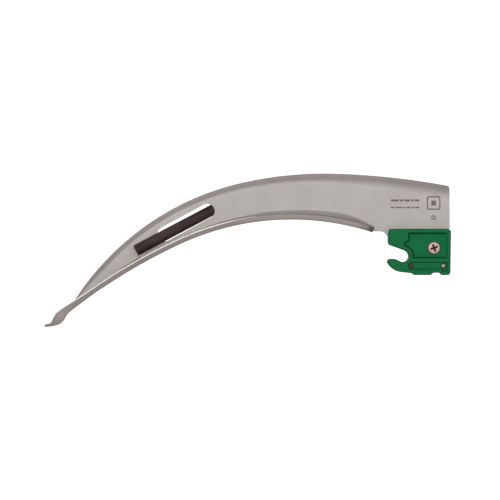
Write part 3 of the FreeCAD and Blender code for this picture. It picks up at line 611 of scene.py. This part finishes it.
def cross_bar(turn):
    """One tapered bar of the cross recess."""
    def fill(bm):
        rings = []
        for depth, length, width in CROSS_LEVELS:
            ring = []
            for ahead, side in ((-1, -1), (1, -1), (1, 1), (-1, 1)):
                ring.append(SCREW_AXIS + Vector((
                    ahead * length * math.cos(turn) - side * width * math.sin(turn),
                    SCREW_FACE + depth,
                    ahead * length * math.sin(turn) + side * width * math.cos(turn))))
            rings.append(ring)
        loft(bm, rings)
    return fill


def build_screw(material):
    """Pan-head screw with a cross recess whose walls carry painted shade, darker than the head.
    """
    screw = new_object("heel_screw_finished", screw_body)
    for number, turn in enumerate((CROSS_TURN, CROSS_TURN + math.pi / 2)):
        bar = new_object(f"cross_tool_{number}", cross_bar(turn), body=None)
        boolean(screw, bar, "DIFFERENCE")
    shade(screw, 35)
    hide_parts("heel_screw")
    paint(screw, material)
    # the recess walls get a dark steel as painted shade
    screw.data.materials.append(machined_steel("screw_recess_painted_shade", (0.085, 0.040, 0.038), 0.6))
    below_face = SCREW_FACE + 0.03 * MM
    for face in screw.data.polygons:
        off = face.center - SCREW_AXIS
        inside = math.hypot(off.x, off.z) < CROSS_REACH
        if inside and below_face < face.center.y < HEAD_SEAT:
            face.material_index = 1


PIN_AXIS = Vector((3.1, 0, -3.7)) * MM
PIN_RADIUS = 0.9 * MM
PIN_HEAD = 1.27 * MM            # riveted head: radius, rounding and inner face
PIN_HEAD_ROUND = 0.3 * MM
PIN_HEAD_INNER = 5.3 * MM
PIN_STEP = 0.05 * MM
PIN_END = 5.8 * MM


def pin_body(bm):
    """Locating pin whose ends are riveted over to small domed heads."""
    half = []
    for step in range(6):
        turn = math.pi / 2 * step / 5
        half.append((PIN_HEAD - PIN_HEAD_ROUND * (1 - math.sin(turn)),
                     -PIN_END + PIN_HEAD_ROUND * (1 - math.cos(turn))))
    half += [(PIN_HEAD, -PIN_HEAD_INNER), (PIN_RADIUS, -PIN_HEAD_INNER + PIN_STEP)]
    profile = half + [(radius, -y) for radius, y in reversed(half)]
    lathe(bm, profile, 40, PIN_AXIS)


def build_pin(material):
    """The front locating pin, which shows on both sides of the heel."""
    pin = new_object("front_locating_pin_finished", pin_body, smooth=40)
    paint(pin, material)
    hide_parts("front_locating_pin")


ETCH_FACE = -HALF_WEB
ETCH_DEPTH = 0.03 * MM


def etched(bm, outline, inner=None):
    """A thin plate, or a frame when it has an inner outline, on the web's near face."""
    levels = (ETCH_FACE - ETCH_DEPTH, ETCH_FACE + ETCH_DEPTH)
    outer = [[bm.verts.new((x, y, z)) for x, z in outline] for y in levels]
    loops = [outer]
    if inner:
        loops.append([[bm.verts.new((x, y, z)) for x, z in inner] for y in levels])
    count = len(outline)
    for front, back in loops:
        for n in range(count):
            m = (n + 1) % count
            bm.faces.new((front[n], front[m], back[m], back[n]))
    if inner:
        for first, second in zip(loops[0], loops[1]):
            for n in range(count):
                m = (n + 1) % count
                bm.faces.new((first[n], first[m], second[m], second[n]))
    else:
        bm.faces.new(outer[0])
        bm.faces.new(outer[1])


def bar_outline(x, z, width, height):
    """Rectangle from its lower left corner."""
    return [(x, z), (x + width, z), (x + width, z + height), (x, z + height)]


def rounded_square(x, z, half, corner, steps=5):
    """Square about a centre with rounded corners."""
    outline = []
    for quarter, (across, up) in enumerate(((1, 1), (-1, 1), (-1, -1), (1, -1))):
        for step in range(steps + 1):
            turn = math.pi / 2 * (quarter + step / steps)
            outline.append((x + across * (half - corner) + corner * math.cos(turn),
                            z + up * (half - corner) + corner * math.sin(turn)))
    return outline


def diamond(x, z, half):
    """Square about a centre, standing on a corner."""
    return [(x + half, z), (x, z + half), (x - half, z), (x, z - half)]


MARK_LEFT = -4.4 * MM
# rows of bars in millimetres: Z, height, gap and the widths of the bars
MARK_ROWS = ((20.9, 0.75, 0.45, (3.0, 1.1, 2.2, 1.1, 1.6)),
             (18.3, 0.5, 0.4, (1.3, 2.6, 0.8, 1.7, 0.8, 1.7)))
FRAME_CENTRE = (11.95 * MM, 20.3 * MM)
FRAME_OUTER = (2.6 * MM, 0.8 * MM)      # half side and corner
FRAME_INNER = (2.15 * MM, 0.35 * MM)
BLOCK_HALF = 0.9 * MM                   # solid square inside the frame
DIAMOND_CENTRE = (11.95 * MM, 14.7 * MM)


def fill_marks(bm):
    """Plain etched pattern: two rows of bars, a square frame and a small diamond."""
    for z, height, gap, widths in MARK_ROWS:
        x = MARK_LEFT
        for width in widths:
            etched(bm, bar_outline(x, z * MM, width * MM, height * MM))
            x += (width + gap) * MM
    etched(bm, rounded_square(*FRAME_CENTRE, *FRAME_OUTER),
           rounded_square(*FRAME_CENTRE, *FRAME_INNER))
    etched(bm, bar_outline(FRAME_CENTRE[0] - BLOCK_HALF, FRAME_CENTRE[1] - BLOCK_HALF,
                           2 * BLOCK_HALF, 2 * BLOCK_HALF))
    etched(bm, diamond(*DIAMOND_CENTRE, 1.1 * MM), diamond(*DIAMOND_CENTRE, 0.6 * MM))


def build_marks():
    """The marks on the web's near face, darker than the steel."""
    marks = new_object("etched_marks", fill_marks, smooth=20)
    paint(marks, machined_steel("etched_steel", (0.30, 0.265, 0.262), 0.6))


# ------------------------------------------------------------------ materials

def new_material(name):
    """A material, its node tree and its principled shader."""
    material = bpy.data.materials.new(name)
    material.use_nodes = True
    tree = material.node_tree
    shader = tree.nodes["Principled BSDF"]
    return material, tree, shader


def add(tree, kind, inputs=None):
    """A new node whose inputs are linked to sockets or set to plain values."""
    node = tree.nodes.new(kind)
    for key, setting in (inputs or {}).items():
        if isinstance(setting, bpy.types.NodeSocket):
            tree.links.new(setting, node.inputs[key])
        else:
            node.inputs[key].default_value = setting
    return node


def ramp(tree, factor, stops):
    """Colours blended between (position, colour) stops."""
    node = add(tree, "ShaderNodeValToRGB", {"Fac": factor})
    elements = node.color_ramp.elements
    for element, (position, colour) in zip(elements, stops):
        element.position = position
        element.color = (*colour, 1.0)
    return node.outputs["Color"]


def object_space(tree, scale=(1, 1, 1)):
    """The object's own coordinates, stretched by the scale."""
    place = add(tree, "ShaderNodeTexCoord")
    mapping = add(tree, "ShaderNodeMapping", {"Vector": place.outputs["Object"],
                                              "Scale": scale})
    return mapping.outputs["Vector"]


def noise(tree, vector, scale, detail=3.0, roughness=0.55):
    """Cloudy variation between 0 and 1."""
    node = add(tree, "ShaderNodeTexNoise", {"Vector": vector, "Scale": scale,
                                            "Detail": detail, "Roughness": roughness})
    return node.outputs["Fac"]


def bump(tree, height, strength, distance):
    """A normal that is tilted by a height pattern; the distance is in metres."""
    node = add(tree, "ShaderNodeBump", {"Height": height, "Strength": strength,
                                        "Distance": distance})
    return node.outputs["Normal"]


def satin_steel():
    """Bead-blasted stainless steel with faint handling marks."""
    material, tree, shader = new_material("satin_steel")
    fine = noise(tree, object_space(tree), 5200, 2)
    broad = noise(tree, object_space(tree), 60, 4)
    streak = noise(tree, object_space(tree, (60, 400, 400)), 12, 4)
    colour = ramp(tree, broad, ((0.3, (0.545, 0.530, 0.505)), (0.7, (0.60, 0.585, 0.56))))
    rough = ramp(tree, streak, ((0.3, (0.43, 0.43, 0.43)), (0.75, (0.54, 0.54, 0.54))))
    tree.links.new(colour, shader.inputs["Base Color"])
    tree.links.new(rough, shader.inputs["Roughness"])
    shader.inputs["Metallic"].default_value = 1.0
    grain = bump(tree, fine, 0.10, 0.00002)
    tree.links.new(grain, shader.inputs["Normal"])
    return material


def green_plastic(name, lightness):
    """Semi-gloss moulded plastic; the lightness scales its green, for the plain part and for its
    darker painted-shade and lighter painted-highlight copies.
    """
    material, tree, shader = new_material(name)
    broad = noise(tree, object_space(tree), 180, 4)
    fine = noise(tree, object_space(tree), 2600, 2)
    low = (0.001 * lightness, 0.225 * lightness, 0.066 * lightness)
    high = (0.002 * lightness, 0.265 * lightness, 0.084 * lightness)
    colour = ramp(tree, broad, ((0.3, low), (0.7, high)))
    rough = ramp(tree, broad, ((0.3, (0.30, 0.30, 0.30)), (0.7, (0.40, 0.40, 0.40))))
    shader.inputs["Specular IOR Level"].default_value = 0.14
    tree.links.new(colour, shader.inputs["Base Color"])
    tree.links.new(rough, shader.inputs["Roughness"])
    tree.links.new(bump(tree, fine, 0.12, 0.00002), shader.inputs["Normal"])
    return material


def machined_steel(name, colour, roughness):
    """Turned or drawn metal whose fine streaks run across the object's Y."""
    material, tree, shader = new_material(name)
    streak = noise(tree, object_space(tree, (1, 8, 1)), 900, 3)
    low = tuple(part * 0.88 for part in colour)
    tree.links.new(ramp(tree, streak, ((0.3, low), (0.7, colour))),
                   shader.inputs["Base Color"])
    shader.inputs["Metallic"].default_value = 1.0
    rough = ramp(tree, streak, ((0.3, (roughness * 0.85,) * 3), (0.7, (roughness * 1.2,) * 3)))
    tree.links.new(rough, shader.inputs["Roughness"])
    tree.links.new(bump(tree, streak, 0.15, 0.00002), shader.inputs["Normal"])
    return material


def woven_sheath():
    """Dark woven sleeve set in resin."""
    material, tree, shader = new_material("dark_sheath")
    vector = object_space(tree)
    cells = add(tree, "ShaderNodeTexVoronoi", {"Vector": vector, "Scale": 2600.0})
    broad = noise(tree, vector, 160, 4)
    colour = ramp(tree, broad, ((0.3, (0.040, 0.022, 0.024)), (0.7, (0.085, 0.050, 0.052))))
    tree.links.new(colour, shader.inputs["Base Color"])
    shader.inputs["Roughness"].default_value = 0.55
    tree.links.new(bump(tree, cells.outputs["Distance"], 0.5, 0.00006),
                   shader.inputs["Normal"])
    return material


def fibre_face():
    """Polished ends of many glass fibres."""
    material, tree, shader = new_material("glass_fibre")
    cells = add(tree, "ShaderNodeTexVoronoi", {"Vector": object_space(tree), "Scale": 9000.0})
    colour = ramp(tree, cells.outputs["Distance"],
                  ((0.1, (0.42, 0.36, 0.27)), (0.6, (0.16, 0.12, 0.09))))
    tree.links.new(colour, shader.inputs["Base Color"])
    shader.inputs["Roughness"].default_value = 0.18
    return material


def cast_sealant():
    """Matt black rubbery filling."""
    material, tree, shader = new_material("dark_sealant")
    grain = noise(tree, object_space(tree), 1500, 4)
    tree.links.new(ramp(tree, grain, ((0.3, (0.015, 0.014, 0.013)), (0.7, (0.035, 0.033, 0.03)))),
                   shader.inputs["Base Color"])
    shader.inputs["Roughness"].default_value = 0.5
    tree.links.new(bump(tree, grain, 0.3, 0.00005), shader.inputs["Normal"])
    return material


def paint(piece, material):
    """Give the whole piece one material."""
    piece.data.materials.clear()
    piece.data.materials.append(material)


def paint_faces(piece, material, wanted):
    """Give the wanted faces a second material."""
    piece.data.materials.append(material)
    index = len(piece.data.materials) - 1
    for face in piece.data.polygons:
        if wanted(face):
            face.material_index = index


HEEL_RECESS_Y = 5.0 * MM


def is_heel_painted_shade(face):
    """True for the heel's rounded edges and its side recesses' walls, which get painted shade."""
    lean = abs(face.normal.y)
    wall = lean <= 0.08 and abs(face.center.y) > HEEL_RECESS_Y
    return 0.08 < lean < 0.97 or wall


FILLET_LOW, FILLET_HIGH = -0.55 * MM, 8.6 * MM
# section of the fillet: X and distance from the middle plane
FILLET_SECTION = ((16.66 * MM, 5.04 * MM), (16.66 * MM, 5.95 * MM),
                  (16.2 * MM, 5.5 * MM), (15.95 * MM, 5.04 * MM))


def build_recess_fillets(material):
    """Moulded fillet along the rear wall of each side recess, coloured a lighter green as a
    painted highlight.
    """
    for name, side in (("right", -1), ("left", 1)):
        def fill(bm, side=side):
            loft(bm, [[Vector((x, side * y, z)) for x, y in FILLET_SECTION[::-side]]
                      for z in (FILLET_LOW, FILLET_HIGH)])
        fillet = new_object(f"recess_fillet_{name}", fill, smooth=50)
        paint(fillet, material)


# ------------------------------------------------------------------ stage

STUDIO_REACH = 3.4              # metres
STUDIO_HEIGHT = 4.0
STUDIO_CURVE = 0.6              # radius between floor and wall
STUDIO_HUB = 0.02               # radius of the face in the middle of floor and ceiling
STUDIO_SIDES = 64
CURVE_STEPS = 8


def studio_room(bm):
    """Round floor that curves up into a wall, with a flat ceiling."""
    low = CAD_BOX[0][2]
    start = STUDIO_REACH - STUDIO_CURVE
    profile = [(STUDIO_HUB, low), (start, low)]
    for step in range(1, CURVE_STEPS + 1):
        turn = math.pi / 2 * step / CURVE_STEPS
        profile.append((start + STUDIO_CURVE * math.sin(turn),
                        low + STUDIO_CURVE * (1 - math.cos(turn))))
    profile += [(STUDIO_REACH, low + STUDIO_HEIGHT), (STUDIO_HUB, low + STUDIO_HEIGHT)]
    turns = [2 * math.pi * n / STUDIO_SIDES for n in range(STUDIO_SIDES)]
    loft(bm, [[Vector((radius * math.cos(turn), radius * math.sin(turn), z)) for turn in turns]
              for radius, z in profile])


def studio_white():
    """Even white that is seen from inside the room and clear from outside it."""
    material, tree, shader = new_material("studio_white")
    tint = noise(tree, object_space(tree), 2.0, 2)
    tree.links.new(ramp(tree, tint, ((0.3, (0.88, 0.88, 0.88)), (0.7, (0.90, 0.90, 0.90)))),
                   shader.inputs["Base Color"])
    shader.inputs["Roughness"].default_value = 0.9
    shader.inputs["Emission Color"].default_value = (1, 1, 1, 1)
    shader.inputs["Emission Strength"].default_value = 0.8
    inside = add(tree, "ShaderNodeNewGeometry").outputs["Backfacing"]
    clear = add(tree, "ShaderNodeBsdfTransparent")
    either = add(tree, "ShaderNodeMixShader", {0: inside, 1: clear.outputs[0],
                                               2: shader.outputs[0]})
    tree.links.new(either.outputs[0], tree.nodes["Material Output"].inputs["Surface"])
    return material


def build_stage():
    """The studio, which the camera sees but the steel doesn't mirror."""
    room = new_object("studio_sweep", studio_room, body=None)
    paint(room, studio_white())
    room.visible_glossy = False
    room.visible_diffuse = False
    room.visible_shadow = False


BLADE_MIDDLE = (-0.058, 0, 0)


def area_light(name, place, size, power, target=BLADE_MIDDLE, colour=(1, 1, 1)):
    """A rectangular lamp aimed at a point; places and sizes in metres, power in watts."""
    data = bpy.data.lights.new(name, "AREA")
    data.color = colour
    data.shape = "RECTANGLE"
    data.size, data.size_y = size
    data.energy = power
    light = bpy.data.objects.new(name, data)
    light.location = place
    aim = Vector(target) - Vector(place)
    light.rotation_euler = aim.to_track_quat("-Z", "Y").to_euler()
    light.visible_camera = False
    bpy.context.scene.collection.objects.link(light)


def build_lights():
    """Dim warm surroundings, soft lamps in front and behind, and a narrow strip overhead."""
    world = bpy.data.worlds.new("studio")
    bpy.context.scene.world = world
    world.use_nodes = True
    background = world.node_tree.nodes["Background"]
    background.inputs["Color"].default_value = (1.0, 0.87, 0.865, 1)
    background.inputs["Strength"].default_value = 0.42
    area_light("front_fill", (-0.20, -1.4, 0.25), (1.2, 0.9), 3.6, colour=(0.95, 1.0, 0.985))
    area_light("front_right", (0.8, -1.1, 0.1), (0.6, 0.9), 0.9)
    area_light("rear_fill", (-0.3, 1.4, 0.5), (1.2, 0.8), 5.0)
    area_light("top_strip", (-0.65, 0.0, 1.5), (2.0, 0.14), 1.3, target=(-0.65, 0.0, 0))


CAMERA_DISTANCE = 1.6           # metres
VIEW_WIDTH = 0.19135            # metres across the picture at the blade
CAMERA_TARGET = Vector((-58.3, 0, 2.3)) * MM


def build_camera():
    """Camera straight in front of the blade's near side."""
    data = bpy.data.cameras.new("camera")
    data.sensor_width = 36.0
    data.lens = data.sensor_width * CAMERA_DISTANCE / VIEW_WIDTH
    data.clip_end = 20
    camera = bpy.data.objects.new("camera", data)
    camera.location = CAMERA_TARGET - Vector((0, CAMERA_DISTANCE, 0))
    camera.rotation_euler = (math.pi / 2, 0, 0)
    bpy.context.scene.collection.objects.link(camera)
    bpy.context.scene.camera = camera


# ------------------------------------------------------------------ assembly

bpy.context.scene.view_settings.view_transform = "Standard"
build_camera()
build_stage()
build_lights()

# materials that more than one piece has
steel = satin_steel()
green = green_plastic("green_plastic", 1.0)
# a darker copy of the green: painted shade on the heel's edges and recess walls
green_painted_shade = green_plastic("green_plastic_painted_shade", 0.4)
screw_steel = machined_steel("screw_steel", (0.62, 0.45, 0.40), 0.35)
pin_steel = machined_steel("pin_steel", (0.085, 0.08, 0.055), 0.5)
ball_steel = machined_steel("ball_steel", (0.52, 0.52, 0.50), 0.2)
spring_steel = machined_steel("spring_steel", (0.45, 0.45, 0.47), 0.4)

blade = build_blade()
paint(blade, steel)
# the facet's faces get a near-white glossy steel: a painted highlight along the rim
paint_faces(blade, machined_steel("facet_painted_highlight_steel", (0.93, 0.91, 0.90), 0.2), is_facet)
for node in ("heel_right_half", "heel_left_half"):
    half = bevelled_copy(node, 0.32 * MM, angle=40, clamp=False,
                         stays_sharp=is_in_groove)
    paint(half, green)
    # the rounded edges and recess walls get the darker green as painted shade
    paint_faces(half, green_painted_shade, is_heel_painted_shade)
paint(bevelled_copy("heel_nut", 0.10 * MM), screw_steel)
build_screw(screw_steel)
build_pin(pin_steel)
# the fillets get a lighter copy of the green: a painted highlight on each recess's rear wall
build_recess_fillets(green_plastic("green_plastic_painted_highlight", 1.7))
build_marks()
for node in ("light_guide_strap_rear", "light_guide_strap_front"):
    paint(bevelled_copy(node, 0.12 * MM), steel)
paint(bevelled_copy("light_guide_seal", 0.4 * MM), cast_sealant())

CARRIED = {"rear_locating_pin": pin_steel, "input_ferrule": pin_steel,
           "detent_ball_right": ball_steel, "detent_ball_left": ball_steel,
           "detent_spring_right": spring_steel, "detent_spring_left": spring_steel,
           "light_guide_fibres": fibre_face(), "light_guide_sheath": woven_sheath()}
for node, material in CARRIED.items():
    for place in bpy.data.objects[node].material_slots:
        place.material = material

# each spring gets a mesh of its own
for hand, side in (("right", -1), ("left", 1)):
    spring = bpy.data.objects["detent_spring_" + hand]
    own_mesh(spring)
